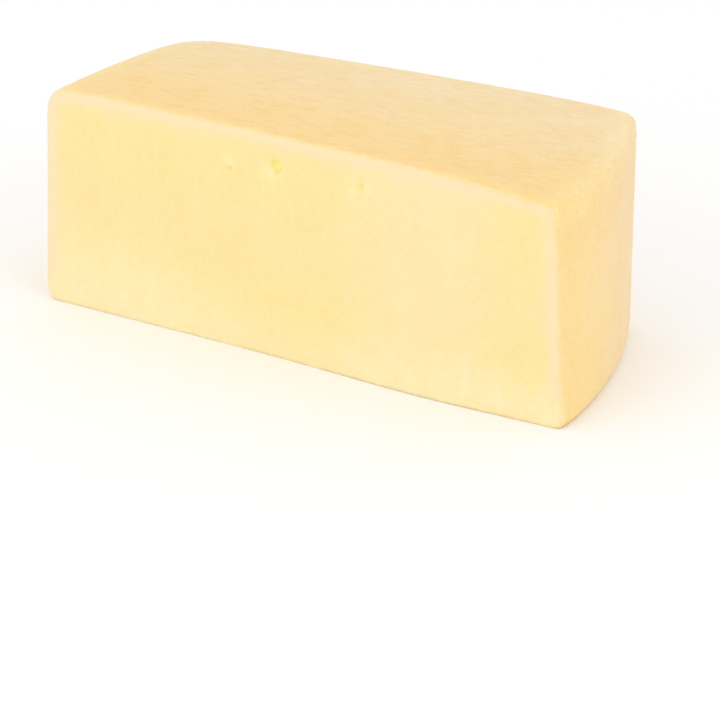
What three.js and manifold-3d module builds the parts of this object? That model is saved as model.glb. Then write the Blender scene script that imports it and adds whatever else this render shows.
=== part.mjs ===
// A block of firm cheese analogue: a moulded loaf, cut once across its face.
// Millimetres, +Z up. The flat cut face looks along -Y and the base lies on z = 0.
// The block is shaped from the middle of the cut face's foot, then set on its own centre.

import * as THREE from 'three';
import { mergeVertices } from 'three/addons/utils/BufferGeometryUtils.js';
import Module from 'manifold-3d';

// Overall sizes
const CUT_LENGTH = 180;
const HEIGHT = 69.2;
const DEPTH = 75;

// Moulded back: deeper towards the right end, and bowed
const BACK_SKEW = 7.9;
const BACK_BOW = 2.4;

// Moulded ends: both leave the cut outwards, then curve in towards the back
const RIGHT_SPLAY = 0.038;
const RIGHT_RADIUS = 125;
const LEFT_SPLAY = 0.049;
const LEFT_RADIUS = 289;

// Both ends lean out at the foot; the right one twists upright and past it further back
const LEFT_LEAN = 2.1;
const RIGHT_LEAN = 1.9;
const RIGHT_TWIST = 2.6;

// Top: level, falling away towards the right end, with a soft shoulder before each moulded edge
const TOP_FALL = 1.9;
const TOP_FALL_START = 30;
const RIGHT_SHOULDER = 0.5;
const LEFT_SHOULDER = 1.7;
const BACK_SHOULDER = 0.7;
const SHOULDER_WIDTH = 9;

// Sag: the soft paste spreads at the foot of the cut face and of the right end
const SAG_HEIGHT = 14;
const CUT_SAG = 2.4;
const CUT_SAG_CENTRE = 45;
const CUT_SAG_SPREAD = 35;
const END_SAG = 2.3;
const END_SAG_SPREAD = 25;

// Edge radii: knife-sharp at the cut, round where the mould shaped them, tighter towards the right end.
// The round foot has settled, so that its underside lies flat and meets the base at a clear angle.
const CUT_EDGE = 1.5;
const TOP_EDGE_LEFT = 6.6;
const TOP_EDGE_RIGHT = 2.9;
const FOOT_EDGE = 5;
const FOOT_SETTLE = 0.6;
const BACK_RIGHT_CORNER = 4.1;
const BACK_LEFT_CORNER = 14.1;

// Eyes: gas pockets that the cut opened, each an ellipsoid centred on the cut face
const EYES = [
  { across: -6.4, up: 59.6, width: 4.6, height: 6.2, depth: 2.4 },
  { across: -22.5, up: 55.8, width: 2.0, height: 2.2, depth: 1.1 },
  { across: 23.4, up: 58.9, width: 2.8, height: 3.0, depth: 0.9 },
];
const EYE_SIDES = 16;
const EYE_RINGS = 9;

// Surface grid: fine at the edges, growing to an even step across the faces
const MOULDED_HEIGHT = HEIGHT + FOOT_SETTLE;
const EDGE_STEP = 0.5;
const EDGE_GROWTH = 1.55;
const EDGE_BAND = 9;
const FACE_STEP = 9.5;
const CORE_INSET = 22;
const CAST_REACH = 60;
const CAST_HALVINGS = 40;

const PASTE_COLOUR = 0xfdebaa;
const PASTE_ROUGHNESS = 0.5;

// Outlines of the ends, the back and the top

function sagAt(z) {
  return Math.exp(-Math.max(z, 0) / SAG_HEIGHT);
}

function leftEndAt(y, z) {
  const plan = -CUT_LENGTH / 2 - LEFT_SPLAY * y + (y * y) / (2 * LEFT_RADIUS);
  return plan - LEFT_LEAN * (0.5 - z / HEIGHT);
}

function rightEndAt(y, z) {
  const plan = CUT_LENGTH / 2 + RIGHT_SPLAY * y - (y * y) / (2 * RIGHT_RADIUS);
  const lean = (RIGHT_LEAN - (RIGHT_TWIST * y) / DEPTH) * (0.5 - z / HEIGHT);
  const sag = END_SAG * sagAt(z) * Math.exp(-((y / END_SAG_SPREAD) ** 2));
  return plan + lean + sag;
}

function backAt(x) {
  const across = (2 * x) / CUT_LENGTH;
  return DEPTH + BACK_SKEW * across - BACK_BOW * across * across;
}

function shoulderAt(outside) {
  return Math.exp(Math.min(outside, 0) / SHOULDER_WIDTH);
}

function topAt(x, right, left, back) {
  const along = Math.max(x - TOP_FALL_START, 0) / (CUT_LENGTH / 2 - TOP_FALL_START);
  const endShoulders = RIGHT_SHOULDER * shoulderAt(right) + LEFT_SHOULDER * shoulderAt(left);
  return HEIGHT - TOP_FALL * along * along - endShoulders - BACK_SHOULDER * shoulderAt(back);
}

function topEdgeAt(x) {
  const share = THREE.MathUtils.clamp(0.5 + x / CUT_LENGTH, 0, 1);
  return THREE.MathUtils.lerp(TOP_EDGE_LEFT, TOP_EDGE_RIGHT, share);
}

function cutAt(x, z) {
  return -CUT_SAG * sagAt(z) * Math.exp(-(((x - CUT_SAG_CENTRE) / CUT_SAG_SPREAD) ** 2));
}

// The solid as a distance: negative inside, zero on the surface

function roundedMeet(a, b, radius) {
  const corner = Math.hypot(Math.max(a + radius, 0), Math.max(b + radius, 0));
  return corner - radius + Math.min(Math.max(a, b) + radius, 0);
}

function distanceTo(point) {
  const { x, y, z } = point;
  const inward = Math.max(y, 0);
  const right = x - rightEndAt(inward, z);
  const left = leftEndAt(inward, z) - x;
  const back = y - backAt(x);
  const rightCorner = roundedMeet(right, back, BACK_RIGHT_CORNER);
  const plan = roundedMeet(rightCorner, left, BACK_LEFT_CORNER);
  const topped = roundedMeet(plan, z - topAt(x, right, left, back), topEdgeAt(x));
  const moulded = roundedMeet(topped, -z - FOOT_SETTLE, FOOT_EDGE);
  return roundedMeet(moulded, cutAt(x, z) - y, CUT_EDGE);
}

// The skin: a gridded box, bent to the block's plan and cast out from an inner core onto the surface

function stationsAlong(size) {
  const edge = [0];
  for (let step = EDGE_STEP; edge.at(-1) < EDGE_BAND; step *= EDGE_GROWTH) {
    edge.push(edge.at(-1) + step);
  }
  const band = edge.at(-1);
  const count = Math.round((size - 2 * band) / FACE_STEP);
  const plain = [];
  for (let i = 1; i < count; i += 1) {
    plain.push(band + ((size - 2 * band) * i) / count);
  }
  const farEdge = edge.map((s) => size - s).reverse();
  return [...edge, ...plain, ...farEdge];
}

// A square corner drawn in to a quarter disc, so that the grid runs along the rounded outline
function roundedCorner(fromEnd, fromLevel, radius) {
  if (fromEnd >= radius || fromLevel >= radius) {
    return [fromEnd, fromLevel];
  }
  const u = 1 - fromEnd / radius;
  const v = 1 - fromLevel / radius;
  const end = radius * (1 - u * Math.sqrt(1 - (v * v) / 2));
  const level = radius * (1 - v * Math.sqrt(1 - (u * u) / 2));
  return [end, level];
}

function bendToPlan(across, inward, up) {
  const onLeft = across < CUT_LENGTH / 2;
  const low = up < MOULDED_HEIGHT / 2;
  const [fromEnd, fromLevel] = roundedCorner(
    onLeft ? across : CUT_LENGTH - across,
    low ? up : MOULDED_HEIGHT - up,
    low ? FOOT_EDGE : topEdgeAt(across - CUT_LENGTH / 2),
  );
  const z = low ? fromLevel - FOOT_SETTLE : HEIGHT - fromLevel;
  const y = (inward * backAt(across - CUT_LENGTH / 2)) / DEPTH;
  const left = leftEndAt(y, z);
  const right = rightEndAt(y, z);
  const share = (onLeft ? fromEnd : CUT_LENGTH - fromEnd) / CUT_LENGTH;
  return new THREE.Vector3(left + (right - left) * share, y, z);
}

function castOut(from, towards) {
  const direction = towards.clone().sub(from).normalize();
  let near = 0;
  let far = CAST_REACH;
  for (let i = 0; i < CAST_HALVINGS; i += 1) {
    const middle = (near + far) / 2;
    const probe = from.clone().addScaledVector(direction, middle);
    if (distanceTo(probe) < 0) {
      near = middle;
    } else {
      far = middle;
    }
  }
  return from.clone().addScaledVector(direction, near);
}

function blockSkin() {
  const sizes = [CUT_LENGTH, DEPTH, MOULDED_HEIGHT];
  const stations = sizes.map(stationsAlong);
  const cells = stations.map((list) => list.length - 1);
  const box = new THREE.BoxGeometry(1, 1, 1, ...cells);
  const position = box.attributes.position;
  for (let i = 0; i < position.count; i += 1) {
    const fractions = [position.getX(i), position.getY(i), position.getZ(i)].map((f) => f + 0.5);
    const onBox = fractions.map((f, axis) => stations[axis][Math.round(f * cells[axis])]);
    const inCore = onBox.map((s, axis) => THREE.MathUtils.clamp(s, CORE_INSET, sizes[axis] - CORE_INSET));
    const point = castOut(bendToPlan(...inCore), bendToPlan(...onBox));
    position.setXYZ(i, point.x, point.y, point.z);
  }
  return box;
}

// Cutting the base and the eyes

const wasm = await Module();
wasm.setup();

function solidFrom(geometry) {
  geometry.deleteAttribute('normal');
  geometry.deleteAttribute('uv');
  const merged = mergeVertices(geometry);
  const vertProperties = new Float32Array(merged.attributes.position.array);
  const triVerts = new Uint32Array(merged.index.array);
  return new wasm.Manifold(new wasm.Mesh({ numProp: 3, vertProperties, triVerts }));
}

function eyeSolid({ across, up, width, height, depth }) {
  const pocket = new THREE.SphereGeometry(1, EYE_SIDES, EYE_RINGS);
  pocket.scale(width / 2, depth, height / 2);
  pocket.translate(across, cutAt(across, up), up);
  return solidFrom(pocket);
}

function cheeseGeometry() {
  let solid = solidFrom(blockSkin()).trimByPlane([0, 0, 1], 0);
  for (const eye of EYES) {
    solid = solid.subtract(eyeSolid(eye));
  }
  const mesh = solid.getMesh();
  const geometry = new THREE.BufferGeometry();
  geometry.setAttribute('position', new THREE.Float32BufferAttribute(mesh.vertProperties, 3));
  geometry.setIndex(new THREE.BufferAttribute(mesh.triVerts, 1));
  geometry.computeBoundingBox();
  const { min, max } = geometry.boundingBox;
  geometry.translate(-(min.x + max.x) / 2, -(min.y + max.y) / 2, -min.z);
  geometry.computeVertexNormals();
  return geometry;
}

// The block

const paste = new THREE.MeshStandardMaterial({
  color: PASTE_COLOUR,
  roughness: PASTE_ROUGHNESS,
  metalness: 0,
});
const cheeseBlock = new THREE.Mesh(cheeseGeometry(), paste);
cheeseBlock.name = 'cheese_block';

const cheese = new THREE.Group();
cheese.add(cheeseBlock);

export default cheese;
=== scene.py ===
import math

import bmesh
import bpy
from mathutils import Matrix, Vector
from mathutils.bvhtree import BVHTree


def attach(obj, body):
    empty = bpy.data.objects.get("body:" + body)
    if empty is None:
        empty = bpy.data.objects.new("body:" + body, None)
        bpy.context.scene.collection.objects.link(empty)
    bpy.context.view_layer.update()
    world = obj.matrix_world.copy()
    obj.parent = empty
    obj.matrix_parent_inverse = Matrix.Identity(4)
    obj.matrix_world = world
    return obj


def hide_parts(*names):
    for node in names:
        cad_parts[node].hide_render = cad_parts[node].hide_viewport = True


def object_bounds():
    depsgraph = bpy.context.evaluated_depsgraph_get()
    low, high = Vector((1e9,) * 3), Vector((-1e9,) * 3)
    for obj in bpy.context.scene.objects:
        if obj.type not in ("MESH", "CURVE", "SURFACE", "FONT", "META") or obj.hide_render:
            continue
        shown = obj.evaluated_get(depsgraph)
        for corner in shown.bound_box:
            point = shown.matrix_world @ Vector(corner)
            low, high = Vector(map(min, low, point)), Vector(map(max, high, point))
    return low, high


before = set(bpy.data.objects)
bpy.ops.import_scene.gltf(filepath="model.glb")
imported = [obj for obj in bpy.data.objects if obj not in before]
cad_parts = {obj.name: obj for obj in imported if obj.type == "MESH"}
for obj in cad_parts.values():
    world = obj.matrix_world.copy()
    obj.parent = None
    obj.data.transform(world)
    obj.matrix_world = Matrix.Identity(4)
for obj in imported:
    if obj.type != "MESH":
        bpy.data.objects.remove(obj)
cad_low, cad_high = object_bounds()

# The loaf's form
# Firm cheese analogue sets in a mould with round edges, and a wire opens its long face in one cut.
# The solid gives that form; here its facets are drawn out smooth, with the gas eyes filled for now.

MM = 0.001
NODE = "cheese_block"
WELD = 0.002 * MM
SMOOTHING = 3
CUT_REACH = 8 * MM
EYE_RIM = 0.6 * MM
FLAT_ENOUGH = math.radians(60)
ANY_SHAPE = math.radians(180)

# Each hollow: across from the middle, up, width, height, depth, and how far painted shade deepens its colour.
EYES = [
    (-7.0 * MM, 59.0 * MM, 4.7 * MM, 5.6 * MM, 1.7 * MM, 0.85),
    (-23.1 * MM, 55.7 * MM, 2.2 * MM, 1.9 * MM, 0.7 * MM, 0.4),
    (22.7 * MM, 58.9 * MM, 2.7 * MM, 3.0 * MM, 0.6 * MM, 0.4),
]
DENTS = [
    (-31.1 * MM, 45.4 * MM, 2.2 * MM, 2.2 * MM, 0.25 * MM, 0.25),
    (30.9 * MM, 60.3 * MM, 3.0 * MM, 2.4 * MM, 0.2 * MM, 0.25),
    (-74.0 * MM, 63.0 * MM, 3.0 * MM, 3.0 * MM, 0.2 * MM, 0.2),
    (-42.4 * MM, 22.0 * MM, 3.6 * MM, 3.0 * MM, 0.2 * MM, 0.2),
]


def near_hollow(point, hollows, margin):
    """Whether a point of the cut face lies within a hollow's rim, or within a margin round it."""
    for across, up, width, tall, *_ in hollows:
        far_x = (point.x - across) / (width / 2 + margin)
        far_z = (point.z - up) / (tall / 2 + margin)
        if math.hypot(far_x, far_z) < 1 and point.y < cad_low.y + CUT_REACH:
            return True
    return False


form = bmesh.new()
form.from_mesh(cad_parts[NODE].data)
bmesh.ops.remove_doubles(form, verts=form.verts, dist=WELD)
eye_walls = [face for face in form.faces if near_hollow(face.calc_center_median(), EYES, EYE_RIM)]
bmesh.ops.dissolve_faces(form, faces=eye_walls)
base = [face for face in form.faces if max(vertex.co.z for vertex in face.verts) < WELD]
bmesh.ops.dissolve_faces(form, faces=base)
crease = form.edges.layers.float.new("crease_edge")
for edge in form.edges:
    if max(vertex.co.z for vertex in edge.verts) < WELD:
        edge[crease] = 1.0
bmesh.ops.join_triangles(
    form,
    faces=[face for face in form.faces if len(face.verts) == 3],
    angle_face_threshold=FLAT_ENOUGH,
    angle_shape_threshold=ANY_SHAPE,
)
form_mesh = bpy.data.meshes.new("loaf_form")
form.to_mesh(form_mesh)
form.free()
corners = {
    (side, way_in): max(form_mesh.vertices, key=lambda v: side * v.co.x + way_in * v.co.y).co.copy()
    for side in (-1, 1)
    for way_in in (-1, 1)
}
loaf_form = bpy.data.objects.new("loaf_form", form_mesh)
bpy.context.scene.collection.objects.link(loaf_form)
smoothing = loaf_form.modifiers.new("smoothing", "SUBSURF")
smoothing.levels = SMOOTHING
smoothing.render_levels = SMOOTHING
surface = BVHTree.FromObject(loaf_form, bpy.context.evaluated_depsgraph_get())
bpy.data.objects.remove(loaf_form)

# The loaf's skin
# One closed skin of paste, close-meshed across the grain, so that the mould's fine lines can be pressed in.
# Its rows bunch at the edges, follow the cut face's round corners and are cast out onto the form.

TOP_LEFT_ROUND = 6.6 * MM
TOP_RIGHT_ROUND = 2.9 * MM
FOOT_ROUND = 5.0 * MM
CORE_INSET = 22 * MM
EDGE_STEP = 0.3 * MM
EDGE_GROWTH = 1.25
LENGTH_STEP = 1.9 * MM
GRAIN_STEP = 0.46 * MM
HEIGHT_STEP = 0.85 * MM
HOLLOW_MARGIN = 2.2 * MM
HOLLOW_CUTS = 4

length = (corners[1, -1] - corners[-1, -1]).length
depth = cad_high.y - cad_low.y
height = cad_high.z - cad_low.z
loaf_size = (length, depth, height)


def stations(whole, face_step):
    """Places along an edge of the loaf, from fine steps at both ends to an even step between."""
    edge = [0.0]
    gap = EDGE_STEP
    while gap < face_step:
        edge.append(edge[-1] + gap)
        gap *= EDGE_GROWTH
    span = whole - 2 * edge[-1]
    count = round(span / face_step)
    plain = [edge[-1] + span * i / count for i in range(1, count)]
    return edge + plain + [whole - place for place in reversed(edge)]


def round_corner(from_end, from_level, radius):
    """A place near a square corner, drawn in to the quarter disc of that radius."""
    if from_end >= radius or from_level >= radius:
        return from_end, from_level
    u = 1 - from_end / radius
    v = 1 - from_level / radius
    drawn_end = radius * (1 - u * math.sqrt(1 - v * v / 2))
    drawn_level = radius * (1 - v * math.sqrt(1 - u * u / 2))
    return drawn_end, drawn_level


def in_plan(across, inward, up):
    """A place given along the cut, inwards and up, bent to the loaf's plan and its round outline."""
    on_left = across < length / 2
    low = up < height / 2
    top_round = TOP_LEFT_ROUND if on_left else TOP_RIGHT_ROUND
    from_end, from_level = round_corner(
        across if on_left else length - across,
        up if low else height - up,
        FOOT_ROUND if low else top_round,
    )
    share = (from_end if on_left else length - from_end) / length
    at_cut = corners[-1, -1].lerp(corners[1, -1], share)
    at_back = corners[-1, 1].lerp(corners[1, 1], share)
    below = at_cut.lerp(at_back, inward / depth)
    return Vector((below.x, below.y, from_level if low else height - from_level))


def on_form(across, inward, up):
    """Where a ray from the loaf's core through that place meets the form's surface."""
    outer = in_plan(across, inward, up)
    inner = [min(max(s, CORE_INSET), whole - CORE_INSET) for s, whole in zip((across, inward, up), loaf_size)]
    core = in_plan(*inner)
    return surface.ray_cast(core, (outer - core).normalized())[0]


rows = [stations(length, LENGTH_STEP), stations(depth, GRAIN_STEP), stations(height, HEIGHT_STEP)]
last = [len(places) - 1 for places in rows]
skin = bmesh.new()
points = {}


def skin_point(i, j, k):
    """The skin's point at those rows, made once."""
    if (i, j, k) not in points:
        points[i, j, k] = skin.verts.new(on_form(rows[0][i], rows[1][j], rows[2][k]))
    return points[i, j, k]


def skin_side(axis, row):
    """The quads of one side of the skin: the first or last row along an axis."""
    one, two = [other for other in range(3) if other != axis]
    for a in range(last[one]):
        for b in range(last[two]):
            quad = []
            for da, db in ((0, 0), (1, 0), (1, 1), (0, 1)):
                corner = [0, 0, 0]
                corner[axis] = row
                corner[one] = a + da
                corner[two] = b + db
                quad.append(skin_point(*corner))
            skin.faces.new(quad)


for axis in range(3):
    skin_side(axis, 0)
    skin_side(axis, last[axis])
bmesh.ops.recalc_face_normals(skin, faces=skin.faces)
hollowed = [
    face for face in skin.faces if near_hollow(face.calc_center_median(), EYES + DENTS, HOLLOW_MARGIN)
]
bmesh.ops.subdivide_edges(
    skin,
    edges=list(dict.fromkeys(edge for face in hollowed for edge in face.edges)),
    cuts=HOLLOW_CUTS,
    use_grid_fill=True,
)
skin_mesh = bpy.data.meshes.new("cheese_block_skin")
skin.to_mesh(skin_mesh)
skin.free()
skin_shape = bpy.data.objects.new("skin_shape", skin_mesh)
bpy.context.scene.collection.objects.link(skin_shape)

# The paste
# Pale yellow paste with a waxy sheen that lets light in: butter yellow where cut, warmer where moulded.
# The cut is paler along its edges, partly from drier paste and partly as a painted highlight, and paler at
# its foot as painted bounce light from below. Painted shade deepens the paste's colour inside the eyes,
# painted highlights pale the patches beside them, and the moulded paste pales towards the back as painted
# reflection.

CUT_COLOUR = (0.925, 0.735, 0.333, 1)
MOIST_CUT_COLOUR = (0.925, 0.722, 0.343, 1)
PALER_CUT_COLOUR = (0.925, 0.74, 0.395, 1)
FOOT_BOUNCE_COLOUR = (0.93, 0.785, 0.447, 1)
RIM_DRY_AND_HIGHLIGHT_COLOUR = (0.93, 0.718, 0.455, 1)
EYE_SHADE_COLOUR = (0.94, 0.86, 0.272, 1)
PATCH_HIGHLIGHT_COLOUR = (0.925, 0.80, 0.42, 1)
MOULDED_COLOUR = (0.94, 0.677, 0.283, 1)
MOULDED_REFLECTION_COLOUR = (0.90, 0.714, 0.41, 1)
FLECK_COLOUR = (0.94, 0.80, 0.46, 1)

# How the marks tint the paste under them, as shares of its red, green and blue.
CUT_CLOUD = (1.0, 0.985, 0.95, 1)
CUT_BLOTCH = (1.0, 1.02, 1.08, 1)
CUT_SPECK = (0.99, 0.975, 0.95, 1)
CUT_STREAK = (1.0, 1.015, 1.045, 1)
MOULDED_CLOUD = (1.0, 0.98, 0.95, 1)
MOULDED_BLOTCH = (1.0, 1.025, 1.11, 1)
MOULDED_SPECK = (0.985, 0.965, 0.945, 1)
GRAIN_TONE_AND_SHADE = (0.985, 0.96, 0.94, 1)
GROOVE_PAINTED_SHADE = (0.965, 0.93, 0.895, 1)
MOULDED_SHOULDER = (1.0, 1.04, 1.04, 1)
MOULDED_END = (1.0, 1.04, 1.055, 1)
END_TONE_AND_SHADE_BY_THE_BACK = (0.99, 0.92, 0.87, 1)

# The size of each kind of mark along the block, into it and up it.
CLOUD_SIZE = (14 * MM, 14 * MM, 18 * MM)
BLOTCH_SIZE = (3.4 * MM, 3.0 * MM, 4.0 * MM)
SPECK_SIZE = (1.1 * MM, 1.1 * MM, 1.3 * MM)
STREAK_SIZE = (2.4 * MM, 20 * MM, 60 * MM)
FINE_GRAIN_SIZE = (5 * MM, 0.9 * MM, 0.9 * MM)
PORE_SIZE = (0.6 * MM, 0.6 * MM, 0.6 * MM)
WIRE_LINE_SIZE = (0.45 * MM, 5 * MM, 25 * MM)
CLOTH_LINE_SIZE = (6 * MM, 0.6 * MM, 0.6 * MM)
FINE_DEPTH = 0.06 * MM

# Where each change of tone starts and ends, along the block, into it or up it.
MOIST_RISES = (14 * MM, 34 * MM)
MOIST_FALLS = (34 * MM, 58 * MM)
PALER_RISES = (5 * MM, 40 * MM)
PALER_FALLS = (55 * MM, 80 * MM)
# The foot's painted bounce light: where it starts, how high it reaches along the block, and where it
# strengthens.
FOOT_STARTS = 2 * MM
FOOT_NARROWS = (-65 * MM, -5 * MM)
FOOT_HEIGHTS = (36 * MM, 20 * MM)
FOOT_STRENGTHENS = (5 * MM, 45 * MM)
RIM_RISES = (2 * MM, 13 * MM)
# Where the painted reflection on the moulded paste rises, from front to back.
REFLECTION_RISES_INWARD = (-38 * MM, 34 * MM)
LOW_END_FALLS = (36 * MM, 62 * MM)
BACK_OF_END = (-25 * MM, 22 * MM)


def add(tree, kind, inputs=None, **settings):
    """A node in a tree, with its settings, and its inputs given as values or as links."""
    made = tree.nodes.new(kind)
    for name, value in settings.items():
        setattr(made, name, value)
    for name, value in (inputs or {}).items():
        if isinstance(value, bpy.types.NodeSocket):
            tree.links.new(value, made.inputs[name])
        else:
            made.inputs[name].default_value = value
    return made


def maths(tree, operation, *values):
    """The result of a sum on numbers or sockets."""
    return add(tree, "ShaderNodeMath", dict(enumerate(values)), operation=operation).outputs[0]


def product(tree, *values):
    """Numbers or sockets multiplied together."""
    result = values[0]
    for value in values[1:]:
        result = maths(tree, "MULTIPLY", result, value)
    return result


def step(tree, value, low, high, to_low=0.0, to_high=1.0):
    """A smooth step of a value between two bounds."""
    inputs = {"Value": value, "From Min": low, "From Max": high, "To Min": to_low, "To Max": to_high}
    return add(tree, "ShaderNodeMapRange", inputs, interpolation_type="SMOOTHSTEP").outputs[0]


def noise(tree, at, mark_size, detail, seed):
    """Noise about 0.5, with the size of its marks along the block, into it and up it."""
    scaled = add(tree, "ShaderNodeVectorMath", {0: at, 1: mark_size}, operation="DIVIDE").outputs[0]
    inputs = {"Vector": scaled, "W": seed, "Scale": 1.0, "Detail": detail}
    return add(tree, "ShaderNodeTexNoise", inputs, noise_dimensions="4D").outputs[0]


def blend(tree, share, one, other, kind="MIX"):
    """A blend from one colour to another, or to the two multiplied."""
    made = add(tree, "ShaderNodeMix", data_type="RGBA", blend_type=kind)
    for socket, value in ((made.inputs[0], share), (made.inputs[6], one), (made.inputs[7], other)):
        if isinstance(value, bpy.types.NodeSocket):
            tree.links.new(value, socket)
        else:
            socket.default_value = value
    return made.outputs[2]


def tinted(tree, tone, share, tint):
    """A colour with a mark's tint laid over it by a share."""
    return blend(tree, share, tone, tint, "MULTIPLY")


paste = bpy.data.materials.new("cheese_paste")
paste.use_nodes = True
looks = paste.node_tree
shader = looks.nodes["Principled BSDF"]
place = add(looks, "ShaderNodeTexCoord").outputs["Object"]
mark = {
    name: add(looks, "ShaderNodeAttribute", attribute_name=name).outputs["Fac"]
    for name in ("cut", "rim", "groove", "fleck", "shoulder", "end", "pit", "dish")
}
cloud = noise(looks, place, CLOUD_SIZE, 3.0, 2.0)
blotch = noise(looks, place, BLOTCH_SIZE, 2.0, 6.0)
speck = noise(looks, place, SPECK_SIZE, 2.0, 3.0)
streak = noise(looks, place, STREAK_SIZE, 2.0, 5.0)
fine_grain = noise(looks, place, FINE_GRAIN_SIZE, 3.0, 8.0)
across, inward, up = add(looks, "ShaderNodeSeparateXYZ", {0: place}).outputs

middle = product(looks, step(looks, up, *MOIST_RISES), step(looks, up, *MOIST_FALLS, 1.0, 0.0))
right_half = product(looks, step(looks, across, *PALER_RISES), step(looks, across, *PALER_FALLS, 1.0, 0.0))
# Paler foot of the cut: painted bounce light from below, strongest towards the ends.
foot_ends = step(looks, maths(looks, "ABSOLUTE", across), *FOOT_STRENGTHENS, 0.65, 0.95)
foot_height = step(looks, across, *FOOT_NARROWS, *FOOT_HEIGHTS)
foot = product(looks, step(looks, up, FOOT_STARTS, foot_height, 1.0, 0.0), foot_ends)
cut_tone = blend(looks, middle, CUT_COLOUR, MOIST_CUT_COLOUR)
cut_tone = blend(looks, right_half, cut_tone, PALER_CUT_COLOUR)
cut_tone = blend(looks, foot, cut_tone, FOOT_BOUNCE_COLOUR)
cut_tone = tinted(looks, cut_tone, step(looks, cloud, 0.35, 0.70), CUT_CLOUD)
cut_tone = tinted(looks, cut_tone, step(looks, blotch, 0.40, 0.65), CUT_BLOTCH)
cut_tone = tinted(looks, cut_tone, step(looks, speck, 0.35, 0.70), CUT_SPECK)
cut_tone = tinted(looks, cut_tone, step(looks, streak, 0.45, 0.75), CUT_STREAK)
# Paler rim along the cut's edges: partly drier paste, partly a painted highlight where the rounded edge
# catches the light.
rim_dryness_and_highlight = product(looks, mark["rim"], step(looks, up, *RIM_RISES, 0.12, 1.0))
cut_tone = blend(looks, rim_dryness_and_highlight, cut_tone, RIM_DRY_AND_HIGHLIGHT_COLOUR)
# Painted highlights on the patches beside the eyes.
cut_tone = blend(looks, mark["dish"], cut_tone, PATCH_HIGHLIGHT_COLOUR)
# Painted shade deepens the paste's colour inside the eyes and dents.
cut_tone = blend(looks, mark["pit"], cut_tone, EYE_SHADE_COLOUR)
# Moulded paste paler towards the back: painted reflection of the white room at grazing angles.
mould_tone = blend(looks, step(looks, inward, *REFLECTION_RISES_INWARD), MOULDED_COLOUR, MOULDED_REFLECTION_COLOUR)
low_end = product(looks, mark["end"], step(looks, up, *LOW_END_FALLS, 1.0, 0.0))
# The end darker towards the back: partly its own tone, partly painted shade where it turns away from the
# front light.
by_the_back = product(looks, mark["end"], step(looks, inward, *BACK_OF_END))
mould_tone = tinted(looks, mould_tone, step(looks, cloud, 0.40, 0.65), MOULDED_CLOUD)
mould_tone = tinted(looks, mould_tone, low_end, MOULDED_END)
mould_tone = tinted(looks, mould_tone, by_the_back, END_TONE_AND_SHADE_BY_THE_BACK)
mould_tone = tinted(looks, mould_tone, mark["shoulder"], MOULDED_SHOULDER)
mould_tone = tinted(looks, mould_tone, step(looks, blotch, 0.40, 0.70), MOULDED_BLOTCH)
mould_tone = tinted(looks, mould_tone, step(looks, speck, 0.35, 0.70), MOULDED_SPECK)
# Darker fine grain lines: partly their own tone, partly painted shade of their fine relief.
mould_tone = tinted(looks, mould_tone, step(looks, fine_grain, 0.40, 0.70), GRAIN_TONE_AND_SHADE)
# Painted shade darkens the pressed grooves.
mould_tone = tinted(looks, mould_tone, mark["groove"], GROOVE_PAINTED_SHADE)
mould_tone = blend(looks, mark["fleck"], mould_tone, FLECK_COLOUR)
tone = blend(looks, mark["cut"], mould_tone, cut_tone)
looks.links.new(tone, shader.inputs["Base Color"])

dryness = step(looks, cloud, 0.3, 0.7, 0.46, 0.56)
smear = product(looks, mark["cut"], -0.06)
looks.links.new(maths(looks, "ADD", dryness, smear), shader.inputs["Roughness"])

pores = noise(looks, place, PORE_SIZE, 3.0, 1.0)
wire_lines = product(looks, noise(looks, place, WIRE_LINE_SIZE, 2.0, 4.0), mark["cut"])
not_cut = maths(looks, "SUBTRACT", 1.0, mark["cut"])
cloth_lines = product(looks, noise(looks, place, CLOTH_LINE_SIZE, 2.0, 7.0), not_cut)
fine = maths(looks, "ADD", pores, maths(looks, "ADD", wire_lines, cloth_lines))
bump = add(looks, "ShaderNodeBump", {"Height": fine, "Strength": 0.3, "Distance": FINE_DEPTH})
looks.links.new(bump.outputs[0], shader.inputs["Normal"])

shader.inputs["Subsurface Weight"].default_value = 0.35
shader.inputs["Subsurface Radius"].default_value = (1.0, 0.6, 0.25)
shader.inputs["Subsurface Scale"].default_value = 4 * MM
shader.inputs["IOR"].default_value = 1.45

# The marks of the mould and the wire
# The mould's cloth leaves fine broken lines along the loaf, pimples on its ends and flecks at their top edge.
# The wire leaves faint upright streaks in the cut and opens the eyes, round pockets left by gas. Painted
# shade is stored for inside the eyes and dents, and painted highlights for the patches beside them.

# Each pale patch by an eye is a painted highlight on a slope that faces the light: across from the middle,
# up, width, height, and how far it pales.
HIGHLIGHT_PATCHES = [
    (-8.8 * MM, 57.4 * MM, 7.5 * MM, 7.5 * MM, 0.8),
    (-23.6 * MM, 58.3 * MM, 6.5 * MM, 4.6 * MM, 0.7),
    (20.4 * MM, 57.4 * MM, 4.6 * MM, 3.8 * MM, 0.7),
    (25.6 * MM, 59.2 * MM, 4.0 * MM, 6.0 * MM, 0.5),
]

# The shallow dish beside the large eye, and the fold that sinks deeper round its lower left.
DISH = (-8.4 * MM, 58.0 * MM, 5.2 * MM, 5.4 * MM)
DISH_DEPTH = 0.35 * MM
FOLD_DEPTH = 0.3 * MM
FOLD_LEFT_OF = (-10.0 * MM, -8.6 * MM)
FOLD_BELOW = (56.2 * MM, 58.0 * MM)

EYE_BEND_SIZE = (2.2 * MM, 2.2 * MM, 2.2 * MM)
FRAY_SIZE = (9 * MM, 9 * MM, 9 * MM)
RELIEF_STARTS = (0.2 * MM, 4 * MM)
PIMPLES_GROW = (15 * MM, 66 * MM)
WEAR_ACROSS = (30 * MM, 85 * MM)
WEAR_UP = (50 * MM, 62 * MM)
CUT_BLEND = (-1.0 * MM, 1.35 * MM)

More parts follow.
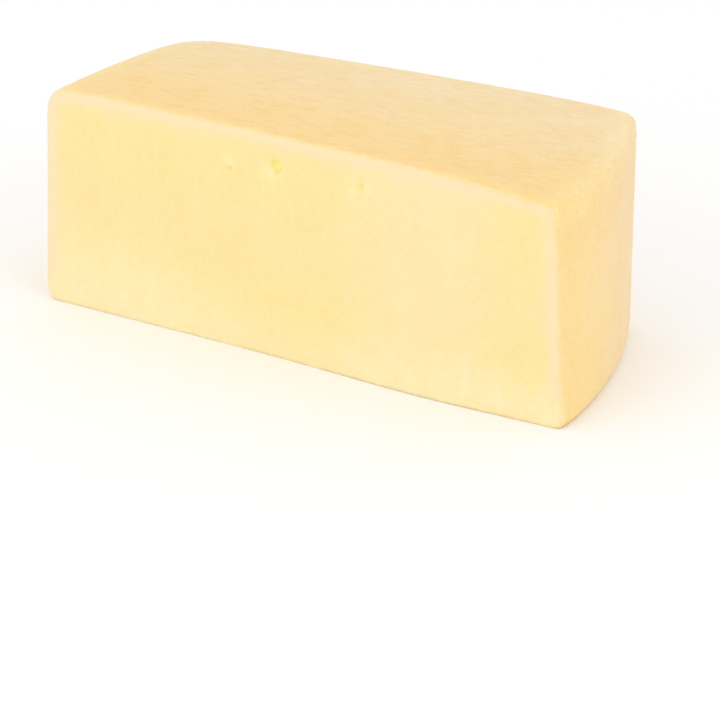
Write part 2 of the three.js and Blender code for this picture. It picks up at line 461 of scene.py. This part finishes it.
marks = bpy.data.node_groups.new("mould_and_wire_marks", "GeometryNodeTree")
marks.interface.new_socket("Skin", in_out="OUTPUT", socket_type="NodeSocketGeometry")
marks.interface.new_socket("Skin", in_out="INPUT", socket_type="NodeSocketGeometry")
mark_sizes = {
    "Paste": ("NodeSocketMaterial", paste),
    "Seed": ("NodeSocketFloat", 3.0),
    "Grain turn": ("NodeSocketFloat", math.radians(-5)),
    "Grain size": ("NodeSocketVector", (8 * MM, 1.9 * MM, 1.9 * MM)),
    "Grain depth": ("NodeSocketFloat", 0.11 * MM),
    "Wrinkle size": ("NodeSocketVector", (6 * MM, 2.6 * MM, 2.6 * MM)),
    "Wrinkle depth": ("NodeSocketFloat", 0.16 * MM),
    "Pimple size": ("NodeSocketVector", (1.6 * MM, 1.6 * MM, 1.6 * MM)),
    "Pimple height": ("NodeSocketFloat", 0.16 * MM),
    "Fleck size": ("NodeSocketVector", (1.3 * MM, 1.3 * MM, 1.1 * MM)),
    "Fleck height": ("NodeSocketFloat", 0.05 * MM),
    "Shoulder width": ("NodeSocketFloat", 10 * MM),
    "Streak size": ("NodeSocketVector", (5 * MM, 1000 * MM, 90 * MM)),
    "Streak depth": ("NodeSocketFloat", 0.07 * MM),
    "Swell size": ("NodeSocketVector", (34 * MM, 1000 * MM, 28 * MM)),
    "Swell depth": ("NodeSocketFloat", 0.25 * MM),
    "Rim width": ("NodeSocketFloat", 2.2 * MM),
    "Rim fade": ("NodeSocketFloat", 1.7 * MM),
    "Corner wear": ("NodeSocketFloat", 0.8 * MM),
    "Eye unevenness": ("NodeSocketFloat", 0.5 * MM),
    "Eye taper": ("NodeSocketFloat", 0.35),
}
sockets = {
    name: marks.interface.new_socket(name, in_out="INPUT", socket_type=kind)
    for name, (kind, value) in mark_sizes.items()
}
given = marks.nodes.new("NodeGroupInput").outputs
at = add(marks, "GeometryNodeInputPosition").outputs[0]
normal = add(marks, "GeometryNodeInputNormal").outputs[0]
facing = add(marks, "ShaderNodeSeparateXYZ", {0: normal}).outputs
spot = add(marks, "ShaderNodeSeparateXYZ", {0: at}).outputs
turned = add(
    marks, "ShaderNodeVectorRotate", {"Vector": at, "Angle": given["Grain turn"]}, rotation_type="Z_AXIS"
).outputs[0]


def seeded(offset):
    """The tree's seed, moved on so that each noise differs."""
    return maths(marks, "ADD", given["Seed"], offset)


def about_zero(value):
    """Noise moved to lie about zero."""
    return maths(marks, "SUBTRACT", value, 0.5)


def away_from(chosen):
    """How far each point lies from the strip of skin made of the chosen points."""
    inputs = {"Geometry": given["Skin"], "Selection": chosen}
    strip = add(marks, "GeometryNodeSeparateGeometry", inputs, domain="POINT").outputs[0]
    return add(marks, "GeometryNodeProximity", {0: strip}, target_element="EDGES").outputs["Distance"]


front = maths(marks, "MULTIPLY", facing[1], -1.0)
sideways = maths(marks, "ABSOLUTE", facing[0])
cut = step(marks, front, 0.6, 0.85)
moulded = maths(marks, "SUBTRACT", 1.0, cut)
end = step(marks, sideways, 0.4, 0.8)
along = product(marks, moulded, maths(marks, "SUBTRACT", 1.0, end))
above_foot = step(marks, spot[2], *RELIEF_STARTS)

on_shoulder = maths(marks, "GREATER_THAN", maths(marks, "MINIMUM", facing[2], sideways), 0.45)
past_shoulder = maths(marks, "DIVIDE", away_from(on_shoulder), given["Shoulder width"])
shoulder = product(marks, step(marks, past_shoulder, 0.0, 1.0, 1.0, 0.0), moulded)
fleck = step(marks, noise(marks, at, given["Fleck size"], 1.0, seeded(20.0)), 0.54, 0.70)
fleck = product(marks, fleck, shoulder, shoulder, 0.7)
fleck_rise = product(marks, fleck, given["Fleck height"])

grain = noise(marks, turned, given["Grain size"], 2.0, seeded(0.0))
line = step(marks, maths(marks, "ABSOLUTE", about_zero(grain)), 0.0, 0.10, 1.0, 0.0)
patch = step(marks, noise(marks, turned, given["Wrinkle size"], 1.0, seeded(5.0)), 0.38, 0.60)
clear = maths(marks, "SUBTRACT", 1.0, shoulder)
groove = product(marks, line, patch, along, clear, above_foot)
wrinkle = about_zero(noise(marks, turned, given["Wrinkle size"], 1.0, seeded(8.0)))
mould_rise = maths(
    marks,
    "SUBTRACT",
    product(marks, wrinkle, along, clear, given["Wrinkle depth"]),
    product(marks, groove, given["Grain depth"]),
)

pimple = step(marks, noise(marks, at, given["Pimple size"], 1.0, seeded(10.0)), 0.45, 0.75)
higher_up = step(marks, spot[2], *PIMPLES_GROW, 0.3, 1.0)
pimple_rise = product(marks, pimple, moulded, end, higher_up, given["Pimple height"])

streaks = about_zero(noise(marks, at, given["Streak size"], 2.0, seeded(30.0)))
swell = about_zero(noise(marks, at, given["Swell size"], 1.0, seeded(34.0)))
streak_rise = product(marks, streaks, given["Streak depth"])
swell_rise = product(marks, swell, given["Swell depth"])
wire_rise = product(marks, maths(marks, "ADD", streak_rise, swell_rise), cut)


def from_middle(middle_x, middle_z, width, tall, taper, offset):
    """How far a point lies from a hollow's middle: 1 at its uneven rim, which narrows towards its foot."""
    bend = about_zero(noise(marks, at, EYE_BEND_SIZE, 1.0, seeded(offset)))
    bend = product(marks, bend, given["Eye unevenness"])
    far_x = maths(marks, "ADD", spot[0], maths(marks, "SUBTRACT", bend, middle_x))
    far_z = maths(marks, "ADD", spot[2], maths(marks, "SUBTRACT", bend, middle_z))
    far_x = maths(marks, "DIVIDE", far_x, width / 2)
    far_z = maths(marks, "DIVIDE", far_z, tall / 2)
    far_x = product(marks, far_x, maths(marks, "SUBTRACT", 1.0, product(marks, far_z, taper)))
    squared = maths(marks, "ADD", product(marks, far_x, far_x), product(marks, far_z, far_z))
    return maths(marks, "SQRT", squared)


dish_far = from_middle(*DISH, 0.0, 50.0)
dish = product(marks, step(marks, dish_far, 0.55, 1.0, 1.0, 0.0), DISH_DEPTH)
fold = step(marks, maths(marks, "ABSOLUTE", maths(marks, "SUBTRACT", dish_far, 1.0)), 0.0, 0.16, 1.0, 0.0)
fold_side = product(
    marks,
    step(marks, spot[0], *FOLD_LEFT_OF, 1.0, 0.0),
    step(marks, spot[2], *FOLD_BELOW, 1.0, 0.0),
)
pit = maths(marks, "ADD", dish, product(marks, fold, fold_side, FOLD_DEPTH))
# Painted shade for inside each eye and dent, stored as the pit attribute.
pit_shade = 0.0
for number, (*rim_shape, deep, shade_share) in enumerate(EYES + DENTS):
    far = from_middle(*rim_shape, given["Eye taper"], 40.0 + number)
    pocket = step(marks, far, 0.35, 1.05, 1.0, 0.0)
    pit = maths(marks, "MAXIMUM", pit, product(marks, pocket, deep))
    pit_shade = maths(marks, "MAXIMUM", pit_shade, product(marks, pocket, shade_share))
# Painted highlights beside the eyes, stored as the dish attribute.
highlight_patches = 0.0
for number, (*patch_shape, share) in enumerate(HIGHLIGHT_PATCHES):
    far = from_middle(*patch_shape, 0.0, 60.0 + number)
    highlight_patches = maths(marks, "MAXIMUM", highlight_patches, step(marks, far, 0.2, 1.1, share, 0.0))
pit = product(marks, pit, cut)

rise = maths(marks, "ADD", mould_rise, pimple_rise)
rise = maths(marks, "ADD", rise, maths(marks, "ADD", fleck_rise, wire_rise))
rise = product(marks, rise, above_foot)
relief = add(marks, "ShaderNodeVectorMath", {0: normal, "Scale": rise}, operation="SCALE").outputs[0]
sunk = add(marks, "ShaderNodeCombineXYZ", {"Y": pit}).outputs[0]
moved = add(marks, "ShaderNodeVectorMath", {0: relief, 1: sunk}, operation="ADD").outputs[0]

side = maths(marks, "SIGN", maths(marks, "SUBTRACT", front, 0.7))
into_cut = product(marks, away_from(maths(marks, "COMPARE", front, 0.7, 0.16)), side)
worn = product(
    marks,
    step(marks, spot[0], *WEAR_ACROSS),
    step(marks, spot[2], *WEAR_UP),
    given["Corner wear"],
)
cut_share = step(marks, maths(marks, "SUBTRACT", into_cut, worn), *CUT_BLEND)
fray = step(marks, noise(marks, at, FRAY_SIZE, 2.0, seeded(70.0)), 0.25, 0.75, 0.6, 1.4)
past_rim = maths(marks, "MAXIMUM", maths(marks, "SUBTRACT", into_cut, given["Rim width"]), 0.0)
fading = maths(marks, "DIVIDE", past_rim, product(marks, fray, given["Rim fade"]))
rim = maths(marks, "EXPONENT", maths(marks, "MULTIPLY", fading, -1.0))

stored = {
    "cut": cut_share,
    "rim": rim,
    "groove": groove,
    "fleck": fleck,
    "shoulder": shoulder,
    "end": end,
    # pit holds painted shade in the eyes and dents, dish the painted highlights beside them, and rim the
    # partly painted highlight along the cut's edges.
    "pit": pit_shade,
    "dish": highlight_patches,
}
shaped = given["Skin"]
for name, value in stored.items():
    shaped = add(
        marks,
        "GeometryNodeStoreNamedAttribute",
        {"Geometry": shaped, "Name": name, "Value": value},
        data_type="FLOAT",
        domain="POINT",
    ).outputs[0]
shaped = add(marks, "GeometryNodeSetPosition", {"Geometry": shaped, "Offset": moved}).outputs[0]
shaped = add(marks, "GeometryNodeSetShadeSmooth", {0: shaped}).outputs[0]
shaped = add(marks, "GeometryNodeRealizeInstances", {0: shaped}).outputs[0]
shaped = add(marks, "GeometryNodeSetMaterial", {"Geometry": shaped, "Material": given["Paste"]}).outputs[0]
marks.links.new(shaped, marks.nodes.new("NodeGroupOutput").inputs[0])

pressing = skin_shape.modifiers.new("mould_and_wire_marks", "NODES")
pressing.node_group = marks
for name, (kind, value) in mark_sizes.items():
    pressing[sockets[name].identifier] = value
pressed = skin_shape.evaluated_get(bpy.context.evaluated_depsgraph_get())
block_mesh = bpy.data.meshes.new_from_object(pressed)
block_mesh.name = "cheese_block_finished"
bpy.data.objects.remove(skin_shape)
cheese = bpy.data.objects.new("cheese", block_mesh)
bpy.context.scene.collection.objects.link(cheese)
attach(cheese, "root")
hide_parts(NODE)

# The table
# A plain studio table, covered with one sheet of matt white board.
# It lies level under the block's base and is wide enough to fill every view behind it.

TABLE_HALF = 4.0
BOARD_COLOUR = (0.97, 0.97, 0.97, 1)
BOARD_ROUGHNESS = 0.9

table_corners = [(x * TABLE_HALF, y * TABLE_HALF, 0) for x, y in ((-1, -1), (1, -1), (1, 1), (-1, 1))]
table_mesh = bpy.data.meshes.new("table")
table_mesh.from_pydata(table_corners, [], [(0, 1, 2, 3)])
table = bpy.data.objects.new("table", table_mesh)
bpy.context.scene.collection.objects.link(table)
board = bpy.data.materials.new("white_board")
board.use_nodes = True
board_shader = board.node_tree.nodes["Principled BSDF"]
board_shader.inputs["Base Color"].default_value = BOARD_COLOUR
board_shader.inputs["Roughness"].default_value = BOARD_ROUGHNESS
table_mesh.materials.append(board)

# The studio
# A long lens looks down on the cut face and the right end.
# Broad white light comes from all round, with two weak softboxes in front of the cut and beside the end.

AZIMUTH = math.radians(33.64)
ELEVATION = math.radians(22.5)
CAMERA_DISTANCE = 1.3187
AIM = Vector((15.54 * MM, -27.85 * MM, 0.43 * MM))
LENS_MM = 225
SENSOR_MM = 36
ROOM_LIGHT = 0.97


def from_block(azimuth, elevation):
    """The direction from the block to a place round it, with azimuth 0 in front of the cut face."""
    level = math.cos(elevation)
    return Vector((math.sin(azimuth) * level, -math.cos(azimuth) * level, math.sin(elevation)))


camera = bpy.data.objects.new("camera", bpy.data.cameras.new("camera"))
camera.data.lens = LENS_MM
camera.data.sensor_width = SENSOR_MM
camera.location = AIM + from_block(AZIMUTH, ELEVATION) * CAMERA_DISTANCE
camera.rotation_mode = "QUATERNION"
camera.rotation_quaternion = (-from_block(AZIMUTH, ELEVATION)).to_track_quat("-Z", "Y")
bpy.context.scene.collection.objects.link(camera)
bpy.context.scene.camera = camera


def softbox(name, azimuth, elevation, distance, width, watts):
    """A square soft light that faces the block from that direction."""
    light = bpy.data.lights.new(name, "AREA")
    light.size = width
    light.energy = watts
    towards = from_block(math.radians(azimuth), math.radians(elevation))
    lamp = bpy.data.objects.new(name, light)
    lamp.location = towards * distance
    lamp.rotation_mode = "QUATERNION"
    lamp.rotation_quaternion = (-towards).to_track_quat("-Z", "Y")
    bpy.context.scene.collection.objects.link(lamp)


softbox("front_softbox", -12, 24, 2.0, 1.2, 5)
softbox("right_softbox", 70, 30, 2.2, 1.0, 4)

world = bpy.data.worlds.new("white_room")
world.use_nodes = True
room = world.node_tree.nodes["Background"]
room.inputs["Color"].default_value = (1, 1, 1, 1)
room.inputs["Strength"].default_value = ROOM_LIGHT
bpy.context.scene.world = world
bpy.context.scene.view_settings.view_transform = "Standard"
